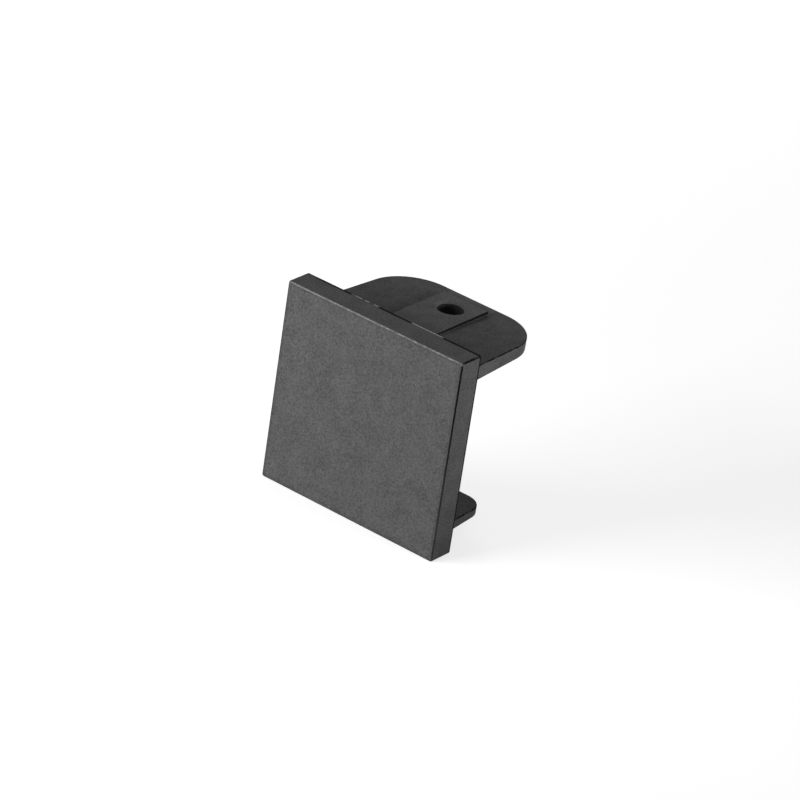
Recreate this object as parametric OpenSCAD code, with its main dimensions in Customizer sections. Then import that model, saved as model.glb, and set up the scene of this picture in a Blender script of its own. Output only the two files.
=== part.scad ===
// End cap for a track rail, moulded in one piece.
// A square cover plate closes the end of the rail. Two tongues behind it slide into the rail:
// the upper one carries a raised land with a screw hole, and the lower one stops short of
// that hole, so that a screw and its driver reach it from below. The land is level and bears on
// the rail, and the drafted tongue falls away from it towards the rear.
// The origin is the middle of the plate's rear face, which seats on the end of the rail.
// X runs across the rail, +Y runs into it and +Z is up.

/* [Cover plate] */
// Width of the plate
plate_w = 36; // [32:0.5:48]
// Height of the plate
plate_h = 36; // [30:0.5:48]
// Thickness of the plate
plate_t = 4.9; // [3:0.1:8]
// Radius of the plate's four corners, seen from the front
plate_corner_r = 0.4; // [0.3:0.1:3]
// Radius of the edge round the front face
front_edge_r = 0.3; // [0.1:0.05:0.3]
// Radius of the edge round the rear face
rear_edge_r = 0.2; // [0.1:0.05:0.3]

/* [Seat on the rail] */
// Rim of the rear face left clear above the upper tongue
top_rim = 3.8; // [2:0.1:6]
// Rim of the rear face left clear on each side of the tongues
side_rim = 2.35; // [1.5:0.05:5]
// Rim of the rear face left clear below the lower tongue
bottom_rim = 2; // [1.5:0.1:6]

/* [Upper tongue] */
// How far the upper tongue reaches behind the plate
upper_depth = 22.5; // [18:0.1:32]
// Thickness of the upper tongue at the plate
upper_root_t = 2.8; // [2.3:0.1:4]
// Thickness of the upper tongue at its rear end
upper_end_t = 1.9; // [1.2:0.1:2.3]
// Slope at which the upper tongue's upper face falls towards the rear, in degrees
upper_fall = 1.5; // [0.2:0.1:2]
// Radius of the upper tongue's rear corners
upper_corner_r = 8.3; // [2:0.1:9.5]

/* [Screw land] */
// Width of the raised land
land_w = 9.4; // [6:0.1:14]
// Height of the land above the root of the upper tongue
land_rise = 0.15; // [0.1:0.05:0.5]
// Distance from the land's end to the rear end of the upper tongue
land_margin = 2.7; // [1:0.1:4]
// Radius of the land's edge and of its corners
land_edge_r = 0.2; // [0.1:0.05:0.2]
// Diameter of the screw hole
hole_d = 4.3; // [2.5:0.1:5.5]
// Width of the chamfer at the mouth of the screw hole
hole_chamfer = 0.5; // [0.2:0.05:0.6]
// Distance from the plate's rear face to the middle of the screw hole
hole_from_plate = 15.7; // [13:0.1:15.9]

/* [Lower tongue] */
// How far the lower tongue reaches behind the plate
lower_depth = 12.2; // [6:0.1:12.5]
// Thickness of the lower tongue at the plate
lower_root_t = 1.9; // [1.5:0.1:4]
// Thickness of the lower tongue at its rear end
lower_end_t = 1.3; // [0.8:0.05:1.5]
// Slope at which the lower tongue's upper face falls towards the rear, in degrees
lower_fall = 0.5; // [0.2:0.1:2]
// Radius of the lower tongue's rear corners
lower_corner_r = 3.5; // [1:0.1:5.5]

/* [Moulding] */
// Taper of each side of the tongues, in degrees
side_draft = 2.9; // [0.5:0.1:5]
// Radius of the upper edge round each tongue
tongue_edge_r = 0.15; // [0.1:0.05:0.5]
// Radius of the fillet where a tongue meets the plate
root_r = 0.6; // [0.2:0.05:0.8]

/* [Hidden] */
$fn = 96;
// Length by which tongues and land run into the plate, and cuts run past a face
lap = 1;
// Angle at which a tongue's round corner runs into its rear edge, in degrees
corner_blend = 2;
// Angle by which that corner runs on inside the rear strip, in degrees
corner_overrun = 10;
tongue_w = plate_w - 2 * side_rim;
upper_z = plate_h / 2 - top_rim;
lower_z = bottom_rim + lower_root_t - plate_h / 2;

// Place across a tongue of a line that lies inset from its tapered side
function side_x(y, inset) = tongue_w / 2 - y * tan(side_draft) - inset / cos(side_draft);

// Section of an edge strip, its outer corners rounded and its upper face at y = 0
module edge_section(reach, t, upper_r, lower_r) {
    difference() {
        translate([0, -t]) square([reach, t]);
        translate([reach - upper_r, -upper_r]) round_waste(upper_r);
        translate([reach - lower_r, lower_r - t]) mirror([0, 1]) round_waste(lower_r);
    }
}

// What rounding a square corner takes away
module round_waste(r) {
    if (r > 0) difference() {
        square(r);
        circle(r);
    }
}

// Slab with round corners and edges, lying flat with its upper face at z = 0
module rounded_slab(w, l, t, corner_r, upper_r, lower_r) {
    run_x = w / 2 - corner_r;
    run_y = l / 2 - corner_r;
    translate([-run_x, -run_y, -t]) cube([2 * run_x, 2 * run_y, t]);
    for (side = [0:3]) {
        across = side % 2 == 0 ? run_x : run_y;
        along = side % 2 == 0 ? run_y : run_x;
        rotate(90 * side) translate([across, along, 0]) {
            rotate([90, 0, 0]) linear_extrude(2 * along) edge_section(corner_r, t, upper_r, lower_r);
            rotate_extrude(angle = 90) edge_section(corner_r, t, upper_r, lower_r);
        }
    }
}

// Cover plate, upright with its rear face at y = 0
module plate() {
    rotate([-90, 0, 0])
        rounded_slab(plate_w, plate_h, plate_t, plate_corner_r, rear_edge_r, front_edge_r);
}

// Tongue with tapered sides, round rear corners and a rounded upper edge. Its upper face leaves
// the plate at z = 0 and falls towards the rear, its underside rises, and fillets join both to it.
module tongue(depth, root_t, end_t, corner_r, fall) {
    rise = root_t - end_t - depth * tan(fall);
    difference() {
        rotate([-fall, 0, 0]) tongue_blank(depth / cos(fall), root_t, corner_r);
        translate([-tongue_w, 0, -root_t]) rotate([90, 0, 90]) linear_extrude(2 * tongue_w)
            polygon([[0, 0], [2 * depth, 2 * rise], [2 * depth, -depth], [0, -depth]]);
    }
    root_fillet(fall, end_t / 2);
    translate([0, 0, -root_t]) mirror([0, 0, 1]) root_fillet(atan(rise / depth), end_t / 2);
}

// The tongue as a level slab: a core, a rear strip, two tapered side strips and two round
// corners, each lapping over the next
module tongue_blank(depth, t, corner_r) {
    centre_y = depth - corner_r;
    centre_x = side_x(centre_y, corner_r);
    root_x = side_x(-lap, corner_r / 2);
    core_x = side_x(centre_y, corner_r / 2);
    rear_y = centre_y - corner_r * (1 - cos(corner_blend));
    translate([0, 0, -t]) linear_extrude(t)
        polygon([[-root_x, -lap], [root_x, -lap], [core_x, centre_y], [-core_x, centre_y]]);
    translate([-centre_x, rear_y, 0]) rotate([90, 0, 90]) linear_extrude(2 * centre_x)
        edge_section(corner_r, t, tongue_edge_r, 0);
    for (side = [0, 1]) mirror([side, 0, 0])
        translate([centre_x, centre_y, 0]) rotate(side_draft) {
            rotate([90, 0, 0]) linear_extrude((centre_y + lap) / cos(side_draft))
                edge_section(corner_r, t, tongue_edge_r, 0);
            rotate_extrude(angle = 90 - side_draft + corner_overrun)
                edge_section(corner_r, t, tongue_edge_r, 0);
        }
}

// Fillet across a tongue's root, on a face that leaves the plate at z = 0 and falls by an angle
module root_fillet(fall, bite) {
    centre_z = root_r / cos(fall) - root_r * tan(fall);
    touch = [root_r - root_r * sin(fall), centre_z - root_r * cos(fall)];
    width = tongue_w - 2 * tongue_edge_r;
    translate([-width / 2, 0, 0]) rotate([90, 0, 90]) linear_extrude(width)
        difference() {
            polygon([[-lap, centre_z], [root_r, centre_z], touch, touch - [0, bite], [-lap, -bite]]);
            translate([root_r, centre_z]) circle(root_r);
        }
}

// Level land round the screw hole, from the plate to short of the tongue's rear end
module screw_land() {
    end_y = upper_depth - land_margin;
    translate([0, (end_y - lap) / 2, land_rise])
        rounded_slab(land_w, end_y + lap, land_rise + upper_root_t / 2, land_edge_r, land_edge_r, 0);
}

// Screw hole through the land and the upper tongue, chamfered at its mouth on the land
module screw_hole() {
    translate([0, hole_from_plate, -upper_root_t - lap])
        cylinder(d = hole_d, h = upper_root_t + land_rise + 2 * lap);
    translate([0, hole_from_plate, land_rise - hole_chamfer])
        cylinder(d1 = hole_d, d2 = hole_d + 2 * (hole_chamfer + lap), h = hole_chamfer + lap);
}

module end_cap() {
    color([0.17, 0.17, 0.17]) difference() {
        union() {
            plate();
            translate([0, 0, upper_z]) {
                tongue(upper_depth, upper_root_t, upper_end_t, upper_corner_r, upper_fall);
                screw_land();
            }
            translate([0, 0, lower_z])
                tongue(lower_depth, lower_root_t, lower_end_t, lower_corner_r, lower_fall);
        }
        translate([0, 0, upper_z]) screw_hole();
    }
}

end_cap();
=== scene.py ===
# %% [markdown]
# # A rail end cap in black moulded plastic
# The cap closes the open end of a track rail. It is one moulding: a square cover plate with two
# tongues behind it that slide into the rail. The solid comes from the packed CAD model, already
# in place and in metres, so nothing here has to be fitted. Its shape is right as it stands, with
# every rounded edge in it, and this file gives it what a solid lacks: a skin, light and a camera.

# %% Load the packed part and keep its box
import math

import bpy
import numpy as np
from mathutils import Matrix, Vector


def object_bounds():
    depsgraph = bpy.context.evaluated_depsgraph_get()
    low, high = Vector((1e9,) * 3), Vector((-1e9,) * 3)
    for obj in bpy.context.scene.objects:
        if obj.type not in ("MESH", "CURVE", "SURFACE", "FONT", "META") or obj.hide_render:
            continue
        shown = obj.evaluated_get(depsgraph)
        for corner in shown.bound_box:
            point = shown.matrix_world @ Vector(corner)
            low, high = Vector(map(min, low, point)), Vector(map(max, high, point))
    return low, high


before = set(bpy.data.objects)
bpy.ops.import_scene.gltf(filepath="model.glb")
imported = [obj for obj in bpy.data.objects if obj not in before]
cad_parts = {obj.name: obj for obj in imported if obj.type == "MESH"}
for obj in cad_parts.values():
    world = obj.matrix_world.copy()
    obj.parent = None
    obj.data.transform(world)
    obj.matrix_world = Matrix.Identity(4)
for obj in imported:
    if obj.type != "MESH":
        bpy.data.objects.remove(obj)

MM = 0.001
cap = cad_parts["end_cap"]
cad_box = [list(corner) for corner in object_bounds()]
print("end cap:", len(cap.data.polygons), "faces, box in mm", np.round(np.array(cad_box) / MM, 2).tolist())

# %% [markdown]
# ## Colours as they are written
# A filmic view bends every tone, which is handsome for a landscape and wrong for a product. The
# Standard view leaves them alone, so a grey that is written in a material comes out as that grey.

# %% Plain view transform
bpy.context.scene.view_settings.view_transform = "Standard"
print("view transform:", bpy.context.scene.view_settings.view_transform)

# %% [markdown]
# ## The photograph's viewpoint
# The part was photographed from its right and from above, with a long lens: its parallel edges
# hardly draw together. In the picture it is tilted by some nine degrees. The part keeps its own
# upright frame here, so the camera is rolled instead. A camera could be dragged about until it
# looks right, but here it is described as a photographer would say it: how far round, how far up,
# how far off, what it aims at, and how far it is rolled. The numbers come from solving for the
# camera that puts the plate's edges and the outlines of both tongues where the photograph has them.

# %% Camera
view_azimuth, view_elevation, view_roll = np.radians([34.833, 26.881, 8.769])
view_distance = 728.0 * MM
view_aim = np.array([1.874, 2.694, 2.25]) * MM
lens = 202.937


def facing(azimuth, elevation):
    """Unit vector from the part to a viewer who stands round to its right by azimuth and up by elevation."""
    level = math.cos(elevation)
    return np.array([math.sin(azimuth) * level, -math.cos(azimuth) * level, math.sin(elevation)])


def placed(back, where, roll=0.0):
    """Matrix that looks along -back from where, its level right-hand side raised by the roll angle."""
    level = np.cross([0.0, 0.0, 1.0], back)
    level /= np.linalg.norm(level)
    right = level * math.cos(roll) + np.cross(back, level) * math.sin(roll)
    matrix = np.eye(4)
    matrix[:3] = np.column_stack([right, np.cross(back, right), back, where])
    return Matrix(matrix.tolist())


view_back = facing(view_azimuth, view_elevation)
camera = bpy.data.objects.new("camera", bpy.data.cameras.new("camera"))
camera.data.lens = lens
camera.data.clip_start = 10 * MM
camera.matrix_world = placed(view_back, view_aim + view_back * view_distance, view_roll)
bpy.context.scene.collection.objects.link(camera)
bpy.context.scene.camera = camera
print("camera at mm", np.round(np.array(camera.matrix_world.translation) / MM, 1).tolist(), "lens", lens)

# %% [markdown]
# ## Shader maths as Python
# Masks and grain are arithmetic on coordinates, and a node editor makes long chains of that. One
# small class wraps an output socket, so that `1 - mask` adds its Math node by itself, and one
# method adds any other node: first its settings, then what goes into its sockets.

# %% A socket that can be added and multiplied
class Wire:
    """An output socket of a node tree. Arithmetic on it adds Math nodes and gives a new Wire."""

    def __init__(self, tree, socket=None):
        self.tree, self.socket = tree, socket

    def node(self, kind, settings=(), sockets=(), out=0):
        """Adds a node of that kind, sets its settings, then gives its sockets values or links."""
        made = self.tree.nodes.new(kind)
        for name, value in dict(settings).items():
            setattr(made, name, value)
        for key, value in dict(sockets).items():
            if isinstance(value, Wire):
                self.tree.links.new(value.socket, made.inputs[key])
            else:
                made.inputs[key].default_value = value
        return Wire(self.tree, made.outputs[out] if len(made.outputs) else None)

    def math(self, operation, *terms):
        return self.node("ShaderNodeMath", {"operation": operation}, dict(enumerate(terms)))

    def __add__(self, other):
        return self.math("ADD", self, other)

    def __sub__(self, other):
        return self.math("SUBTRACT", self, other)

    def __rsub__(self, other):
        return self.math("SUBTRACT", other, self)

    def __mul__(self, other):
        return self.math("MULTIPLY", self, other)

    def __neg__(self):
        return self * -1.0

    def __abs__(self):
        return self.math("ABSOLUTE", self)

    def least(self, other):
        return self.math("MINIMUM", self, other)

    def most(self, other):
        return self.math("MAXIMUM", self, other)

    def step(self, low, high):
        """0 below low, 1 above high and a smooth step between them; low may be the larger one."""
        steps = {"interpolation_type": "SMOOTHSTEP", "clamp": True}
        return self.node("ShaderNodeMapRange", steps, {"Value": self, "From Min": low, "From Max": high})

    def tint(self, first, second):
        """The first colour where this wire is 0, the second where it is 1."""
        return self.node("ShaderNodeMix", {"data_type": "RGBA"}, {0: self, 6: first, 7: second}, out=2)

    __radd__, __rmul__ = __add__, __mul__


print("shader maths:", ", ".join(name for name in vars(Wire) if not name.startswith("_")))

# %% [markdown]
# ## A white room that does not flood the part
# The photograph's background is pure white. A white world at full strength would also pour light
# over every face and flatten the part, so the world is white only to rays that look straight at
# it: from the camera, off gloss, or through something clear. To light that falls on matt faces it
# is a soft grey, which fills the shadows as the walls of a studio do.

# %% World
world_fill = 0.14


def looked_at(wire):
    """1 for a ray that shows the background itself: from the camera, off gloss or through glass."""
    kinds = ("Camera", "Glossy", "Transmission")
    from_camera, off_gloss, through_glass = (
        wire.node("ShaderNodeLightPath", out=f"Is {kind} Ray") for kind in kinds)
    return from_camera.most(off_gloss).most(through_glass)


world = bpy.data.worlds.new("white_room")
world.use_nodes = True
world.node_tree.nodes.clear()
room = Wire(world.node_tree)
brightness = world_fill + (1 - world_fill) * looked_at(room)
sky = room.node("ShaderNodeBackground", (), {"Color": (1, 1, 1, 1), "Strength": brightness})
room.node("ShaderNodeOutputWorld", (), {"Surface": sky})
bpy.context.scene.world = world
print("world: fill", world_fill, "and white where it is looked at")

# %% [markdown]
# ## The floor
# A sheet of white paper under the part. Paper alone would render a little grey under this light,
# so a faint glow lifts it to white where it is looked at. The glow lights no matt face, and the
# paper still darkens where the part keeps the light off it, so the soft shadow stays.

# %% Floor
floor_reach = 2.5
floor_drop = 0.02 * MM
paper_white = 0.8
paper_lift = 0.68

across, along = np.meshgrid([-floor_reach, floor_reach], [-floor_reach, floor_reach])
sheet = np.stack([across, along, np.full((2, 2), cad_box[0][2] - floor_drop)], axis=2).reshape(-1, 3)
paper_mesh = bpy.data.meshes.new("floor")
paper_mesh.from_pydata(sheet.tolist(), [], [[0, 1, 3, 2]])
floor = bpy.data.objects.new("floor", paper_mesh)
bpy.context.scene.collection.objects.link(floor)

paper = bpy.data.materials.new("white_paper")
paper.use_nodes = True
paper.node_tree.nodes.clear()
page = Wire(paper.node_tree)
matt = page.node("ShaderNodeBsdfDiffuse", (), {"Color": (paper_white, paper_white, paper_white, 1)})
glow = page.node("ShaderNodeEmission", (), {"Strength": paper_lift * looked_at(page)})
glowing = page.node("ShaderNodeAddShader", (), {0: matt, 1: glow})
page.node("ShaderNodeOutputMaterial", (), {"Surface": glowing})
floor.data.materials.append(paper)
print("floor at mm", round(float(sheet[0, 2]) / MM, 2))

# %% [markdown]
# ## Lamps
# The plate's front is the brightest face in the photograph, its right-hand faces come next, and
# what lies flat is darkest. So the main soft box stands low in front and to the left, where it
# also lays a thin light along the plate's upper front edge. A small one to the right looks at the
# upper half through a honeycomb grid, a screen of deep cells that narrows its beam, and a weak one
# behind lifts the tongues out of the plate's shadow. A lamp's watts say little about a picture.
# Here its level is the brightness at which a white card held square to it would render, and the
# watts follow from that and its distance. Only the main one is seen in gloss: the other two would
# flash in every fillet that is looked along.

# %% Soft boxes
def soft_box(name, azimuth, elevation, distance, side, level, grid=180, aim_z=0.0, mirrored=True):
    """Square lamp that renders a white card square to it, in the middle of its beam, at that level.
    A grid of less than 180 degrees is a honeycomb in front of it, which narrows the beam. The lamp
    is aimed aim_z above the origin, and gloss shows it only where it is mirrored."""
    lamp = bpy.data.lights.new(name, "AREA")
    lamp.size = side
    lamp.spread = math.radians(grid)
    half = lamp.spread / 2
    narrowing = math.tan(half) / (math.tan(half) - half) if grid < 180 else 1.0
    lamp.energy = level * math.pi**2 * distance**2 / narrowing
    back = facing(math.radians(azimuth), math.radians(elevation))
    box = bpy.data.objects.new(name, lamp)
    box.matrix_world = placed(back, back * distance + np.array([0.0, 0.0, aim_z]))
    box.visible_camera = False
    box.visible_glossy = mirrored
    bpy.context.scene.collection.objects.link(box)
    print(f"{name}: level {level}, {lamp.energy:.3f} W")


soft_box("main_soft_box", azimuth=-32, elevation=12, distance=0.4, side=0.26, level=1.12)
soft_box("side_soft_box", azimuth=102, elevation=9, distance=0.28, side=0.08, level=1.55, grid=25,
         aim_z=30 * MM, mirrored=False)
soft_box("rear_soft_box", azimuth=225, elevation=5, distance=0.5, side=0.3, level=0.5, mirrored=False)

# %% [markdown]
# ## Where a point lies
# The part has several finishes. Each could be a material of its own on its own faces, but a CAD
# node keeps its mesh as it is, so one material tells them apart by where a point lies, in the
# part's own millimetres. Here are the CAD's measures that the finishes follow, and a point's place
# as wires: across, along and up, how far from the plate's two faces, and how far over each tongue.

# %% Measures and a point's place
plate_half_w, plate_half_h, plate_t = cad_box[1][0] / MM, cad_box[1][2] / MM, -cad_box[0][1] / MM
plate_corner = 0.4
tongue_half_w, tongue_draft = 15.65, math.tan(math.radians(2.9))
upper_root, upper_fall, upper_depth, upper_corner = 14.2, math.tan(math.radians(1.5)), 22.5, 8.3
lower_root, lower_fall, lower_depth, lower_corner = -14.1, math.tan(math.radians(0.5)), 12.2, 3.5
land_half_w, land_end, land_rise, land_edge = 4.7, 19.8, 0.15, 0.2
hole_y, hole_r, hole_chamfer = 15.7, 2.15, 0.5

skin = bpy.data.materials.new("black_moulded_plastic")
skin.use_nodes = True
skin.node_tree.nodes.clear()
wire = Wire(skin.node_tree)
metres = wire.node("ShaderNodeTexCoord", out="Object")
point = wire.node("ShaderNodeVectorMath", {"operation": "SCALE"}, {0: metres, "Scale": 1 / MM})
x, y, z = (wire.node("ShaderNodeSeparateXYZ", (), {0: point}, out=axis) for axis in "XYZ")
from_front, from_rear = y + plate_t, -y
over_upper = z - (upper_root - upper_fall * y)
over_lower = z - (lower_root - lower_fall * y)
over_land = z - (upper_root + land_rise)
print("plate in mm:", round(2 * plate_half_w, 2), "by", round(2 * plate_half_h, 2), "by", round(plate_t, 2))

# %% [markdown]
# ## Faces
# The plate's front was spark-eroded in the mould, which leaves a fine even grain that stops just
# short of the edges. The other faces came off plainer steel. The screw land is a little lighter
# than the tongue that carries it. The screw hole is painted near-black, and its mouth a little
# darker than the land, both as painted shade.

# %% Face masks
def strip(distance, width):
    """1 where the distance is small, fading to 0 at that width."""
    return distance.step(width, 0.6 * width)


def inset(aside, ahead, corner):
    """How far a point lies inside an outline, from how far it is past the centre of a round corner on
    two axes: corner - |(aside, ahead)| beyond that centre, and the distance to the nearer side before it."""
    past = aside.most(0.0) * aside.most(0.0) + ahead.most(0.0) * ahead.most(0.0)
    return corner - wire.math("SQRT", past) - aside.most(ahead).least(0.0)


plate_aside = abs(x) - (plate_half_w - plate_corner)
plate_ahead = abs(z) - (plate_half_h - plate_corner)
plate_inset = inset(plate_aside, plate_ahead, plate_corner)
front_depth, margin_w, root_reach = 0.3, 0.9, 0.4
front = strip(from_front, front_depth)
margin = front * strip(plate_inset, margin_w)
behind = y.step(0.0, root_reach)
upper = over_upper.step(-0.2, -0.1) * behind
lower = over_lower.step(0.8, 0.4) * behind
land = upper * abs(x).step(land_half_w, land_half_w - land_edge)
radius = wire.math("SQRT", x * x + (y - hole_y) * (y - hole_y))
hole_fade = 0.06
bore_r, mouth_r = hole_r + hole_fade, hole_r + hole_chamfer
above_lower_tongue = z.step(upper_root - 4, upper_root - 3.5)
# The hole's masks carry painted shade: a near-black bore and a mouth a little darker than the land.
bore = radius.step(bore_r + hole_fade, bore_r) * above_lower_tongue
mouth = radius.step(mouth_r, mouth_r - hole_fade) * over_land.step(-0.02, -0.08) * upper
print("face masks:", len(skin.node_tree.nodes), "nodes so far")

# %% [markdown]
# ## Edges
# The rounded edges came off polished steel: smooth, and a little blacker than the faces that they
# join. They are the thin dark lines that draw the part, along the plate's sides, round the tongues
# and beside the land, and the rest of their black is painted: a painted dark reflection on the
# smooth edges, and painted shade along the plate's upper rear edge, in front of the tongue, and on
# the land's edge. The tongues' rear edges are no darker than the faces, and along the plate's upper
# rear edge the line starts only where the tongue does. A slow noise makes some of the lines uneven,
# as they are on the real part. The edges on the left, which the camera does not see, get the same
# lines at half the strength.

# %% Edge masks
tongue_edge_w, tongue_edge_drop = 0.17, 0.27
front_edge_w, front_edge_depth = 0.27, 0.3
rear_edge_w, rear_edge_depth = 0.16, 0.5


def tongue_edge(over, depth, corner):
    """The strips along a tongue's upper edge, beside it and behind it. The outline that they follow has
    tapered sides and two round corners."""
    ahead = y - (depth - corner)
    aside = abs(x) - (tongue_half_w - corner - tongue_draft * y.least(depth - corner))
    outer = strip(inset(aside, ahead, corner), tongue_edge_w)
    all_round = outer * strip(abs(over), tongue_edge_drop) * y.step(0.0, 0.1)
    beside = y.step(depth - 0.1 * corner, depth - 0.4 * corner)
    return all_round * beside, all_round * (1 - beside)


def land_wall():
    """The strip along the land's edge and the low wall under it, which grows as the tongue falls away."""
    aside = abs(x) - (land_half_w - land_edge)
    ahead = y - (land_end - land_edge)
    within = (2 * land_edge - aside).least(2 * land_edge - ahead).least(y)
    return aside.most(ahead).least(within).least(over_upper - 0.02).step(0.0, 0.1)


streaks = wire.node("ShaderNodeTexNoise", (), {"Vector": point, "Scale": 1.1, "Detail": 2.0})
uneven = 0.55 + 0.45 * streaks.step(0.4, 0.55)
fading_down = 0.5 + 0.5 * z.step(-plate_half_h, 12.0)
top = z.step(plate_half_h - 0.6, plate_half_h - 0.3)
top_beside_tongue = top * x.step(-tongue_half_w + 0.5, -tongue_half_w - 1.0)
front_edge = strip(plate_inset, front_edge_w) * strip(from_front, front_edge_depth) * (1 - top) * fading_down
rear_edge = strip(plate_inset, rear_edge_w) * strip(from_rear * (1 - 0.3 * top), rear_edge_depth)
rear_edge = rear_edge * (1 - top_beside_tongue)
corner_edge = (plate_aside + plate_ahead - plate_corner).step(0.07, 0.14) * uneven
upper_edge, upper_end = tongue_edge(over_upper, upper_depth, upper_corner)
lower_edge, lower_end = tongue_edge(over_lower, lower_depth, lower_corner)
# The low wall under the land's edge gets a dark grey of its own below, as painted shade.
wall = land_wall()
wall_edge = wall * over_land.step(-0.5, -0.25)
plate_edges = rear_edge.most(corner_edge) * (0.5 + 0.5 * x.step(-plate_half_w + 0.3, -plate_half_w + 1.3))
tongue_edges = upper_edge.most(lower_edge) * uneven * (0.5 + 0.5 * x.step(-1.0, 1.0))
# Painted dark reflection and painted shade along the edges, over their own polish.
polish_and_painted_dark = front_edge.most(plate_edges).most(wall_edge).most(tongue_edges)
print("edge masks:", len(skin.node_tree.nodes), "nodes so far")

# %% [markdown]
# ## Painted highlights and painted light
# The upper front edge carries a full coat, and its pale grey along its whole length is a painted
# highlight: the thin light line that the main soft box lays there. Along the upper rear edge, two
# stretches carry pale dashes as a painted highlight, and the black edge line is fainter there. The
# far ends of both tongues carry a pale rim as a painted highlight, and the upper tongue is painted
# a shade lighter towards its end, as painted light.

# %% Painted highlight masks
# Painted highlight along the upper front edge, where the coat is also full.
gloss_and_painted_highlight = top * strip(plate_inset, 0.4) * strip(from_front, 0.15) * streaks.step(0.15, 0.65)
# Painted highlight: pale dashes in two stretches of the upper rear edge, where the black line fades.
rear_top_strip = top * strip(from_rear, 0.9)
rear_highlight_stretches = ((-8.4, -3.0, 0.46), (4.0, 10.3, 0.2))
stretch_fade, gap_fade = 0.3, 0.06
rear_highlight_w, rear_highlight_depth = 0.14, 0.42
painted_rear_highlight = 0.0
for start, end, gaps in rear_highlight_stretches:
    begun = x.step(start - stretch_fade, start + stretch_fade)
    ended = x.step(end - stretch_fade, end + stretch_fade)
    stretch = begun * (1 - ended)
    polish_and_painted_dark = polish_and_painted_dark * (1 - 0.8 * stretch * rear_top_strip)
    painted_rear_highlight = painted_rear_highlight + stretch * streaks.step(gaps - gap_fade, gaps + gap_fade)
painted_rear_highlight = painted_rear_highlight * rear_top_strip * strip(plate_inset, rear_highlight_w) * strip(from_rear, rear_highlight_depth)
# Painted highlight: a pale rim along the far ends of both tongues.
painted_rim_highlight = upper_end.most(lower_end)
# Painted light: the upper tongue grows lighter towards its end.
painted_light_to_rear = upper * y.step(13.0, upper_depth)
print("wear masks:", len(skin.node_tree.nodes), "nodes so far")

# %% [markdown]
# ## Grain
# Spark erosion pits the steel with overlapping craters a few tenths of a millimetre across, and
# the plastic takes the print of them. Modelled pit by pit they would be a million faces, so a
# bump does it: fine noise for the pits, with a coarser one under it for the slow waviness that
# every moulding has. The pits hold a little more light on their rims than in their floors, which
# is the faint mottling in the photograph.

# %% Grain
relief_depth = 0.04 * MM
pit_contrast, wave_contrast, front_wave_contrast = 1.65, 0.55, 0.35

pits = wire.node("ShaderNodeTexNoise", (), {"Vector": point, "Scale": 3.0, "Detail": 3.0, "Roughness": 0.6})
waves = wire.node("ShaderNodeTexNoise", (), {"Vector": point, "Scale": 0.35, "Detail": 1.0})
waviness = wave_contrast - (wave_contrast - front_wave_contrast) * front
mottle = 1 + (pits - 0.5) * pit_contrast + (waves - 0.5) * waviness
height = pits * (0.3 + 0.7 * front) * (1 - 0.85 * polish_and_painted_dark) + waves * 0.6
sinking = {"Strength": 1.0, "Distance": relief_depth, "Height": height}
relief = wire.node("ShaderNodeBump", (), sinking, out="Normal")
print("grain: pits and waves on a relief of", round(relief_depth / MM, 3), "mm")

# %% [markdown]
# ## The plastic
# One shader, and every finish is a grey and a roughness laid over the last by its mask. The greys
# are what the faces measure in the photograph, less the light that falls on them, except the painted
# ones, which keep light or shade in them. The sheen is a thin coat, because a coat's weight can
# change from place to place. It is full on the upper front edge, where it catches the main soft box,
# and faint on the faces. The dark edges and the hole have none: a smooth edge would mirror this
# white room, and those on the real part mirror something black, so the edges' near-black grey is a
# painted dark reflection, and along the upper rear edge and the land a painted shade.

# %% Material
plain_grey, grained_grey, margin_grey = 0.09, 0.107, 0.092
tongue_grey, lower_grey, land_grey = 0.077, 0.083, 0.102
wall_shade_grey, mouth_grey, bore_shade_grey, polish_and_painted_dark_grey = 0.045, 0.092, 0.026, 0.01
painted_highlight_grey, rear_highlight_grey, rim_highlight_grey = 0.135, 0.45, 0.12
plain_rough, grained_rough, polished_rough = 0.55, 0.62, 0.36
sheen = 0.12


def laid(mask, grey, under):
    """The colour under the mask where it is 0, and that grey where it is 1."""
    return mask.tint(under, (grey, grey, grey, 1))


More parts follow.
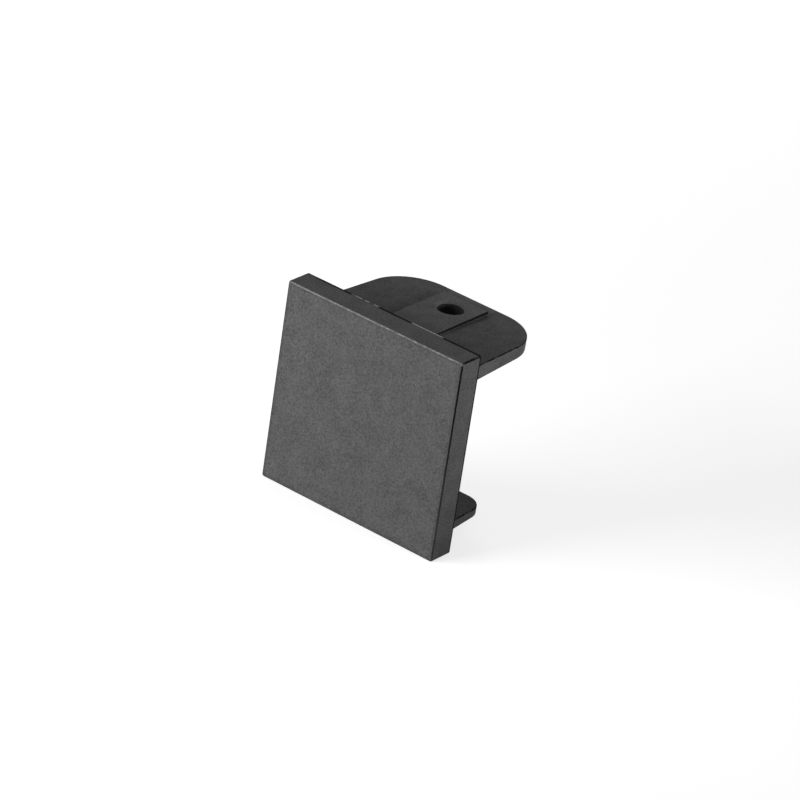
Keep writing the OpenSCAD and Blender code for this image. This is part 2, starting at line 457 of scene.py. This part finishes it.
colour = laid(front, grained_grey, (plain_grey, plain_grey, plain_grey, 1))
colour = laid(margin, margin_grey, colour)
colour = laid(upper, tongue_grey, colour)
# Partly painted shade: the lower tongue's grey keeps its side darker than the upper tongue's side.
colour = laid(lower, lower_grey, colour)
colour = laid(land, land_grey, colour)
# Painted shade on the low wall under the land's edge.
colour = laid(wall, wall_shade_grey, colour)
# Painted dark reflection and painted shade: the near-black grey of the edge lines.
colour = laid(polish_and_painted_dark, polish_and_painted_dark_grey, colour)
# Painted shade: the hole's mouth a little darker than the land, and its bore near-black.
colour = laid(mouth, mouth_grey, colour)
colour = laid(bore, bore_shade_grey, colour)
# Painted highlight: the pale grey of the upper front edge.
colour = laid(gloss_and_painted_highlight, painted_highlight_grey, colour)
# Painted highlight: the pale dashes on the upper rear edge.
colour = laid(painted_rear_highlight, rear_highlight_grey, colour)
# Painted highlight: the pale rim on the tongues' far ends.
colour = laid(painted_rim_highlight, rim_highlight_grey, colour)
# The painted light towards the upper tongue's end brightens the shade here.
shade = mottle * (1 + 0.2 * painted_light_to_rear)
tone = wire.node("ShaderNodeCombineColor", (), {0: shade, 1: shade, 2: shade})
mixing = {"data_type": "RGBA", "blend_type": "MULTIPLY"}
colour = wire.node("ShaderNodeMix", mixing, {0: 1.0, 6: colour, 7: tone}, out=2)
rough = plain_rough + front * (grained_rough - plain_rough)
rough = rough + polish_and_painted_dark * (polished_rough - rough) + (pits - 0.5) * 0.12
gloss = (sheen * (1 - polish_and_painted_dark.most(bore))).most(gloss_and_painted_highlight)
plastic = wire.node("ShaderNodeBsdfPrincipled", (), {
    "Base Color": colour, "Roughness": rough, "Normal": relief, "Specular IOR Level": 0.0,
    "Coat Weight": gloss, "Coat Roughness": 0.25, "Coat IOR": 1.35})
wire.node("ShaderNodeOutputMaterial", (), {"Surface": plastic})
for slot in cap.material_slots:
    slot.material = skin
print("skin:", len(skin.node_tree.nodes), "nodes on", cap.name)

# %% [markdown]
# ## The size is the CAD's
# A skin adds nothing to the shape.
